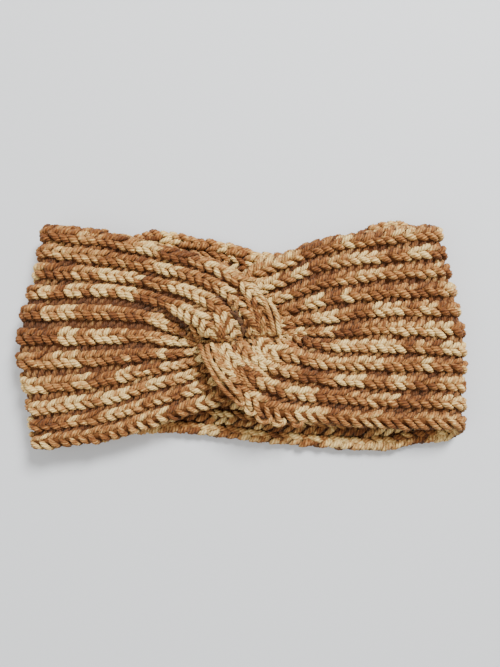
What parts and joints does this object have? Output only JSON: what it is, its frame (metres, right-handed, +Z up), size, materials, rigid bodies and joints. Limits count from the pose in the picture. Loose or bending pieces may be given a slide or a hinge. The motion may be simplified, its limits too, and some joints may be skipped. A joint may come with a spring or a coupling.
{
  "type": "twisted rib knit headband",
  "caption": "Wide ribbed knit headband with a twisted knot at the front, lying flat.",
  "frame": {"origin": "under the middle of the band's bounding box, on the surface that it lies on", "axes": "+X along the folded band to the wearer's left as it is worn, +Y across its width to the upper edge, +Z up"},
  "size_m": [0.2274, 0.1168, 0.0252],
  "materials": {
    "knit": "soft plied yarn dyed in short runs of camel brown, tan and cream",
    "seam_yarn": "the same plied yarn, sewn over and over"
  },
  "bodies": {
    "root": {"rib_strip": "knit", "twist_seam": "seam_yarn"}
  },
  "joints": []
}
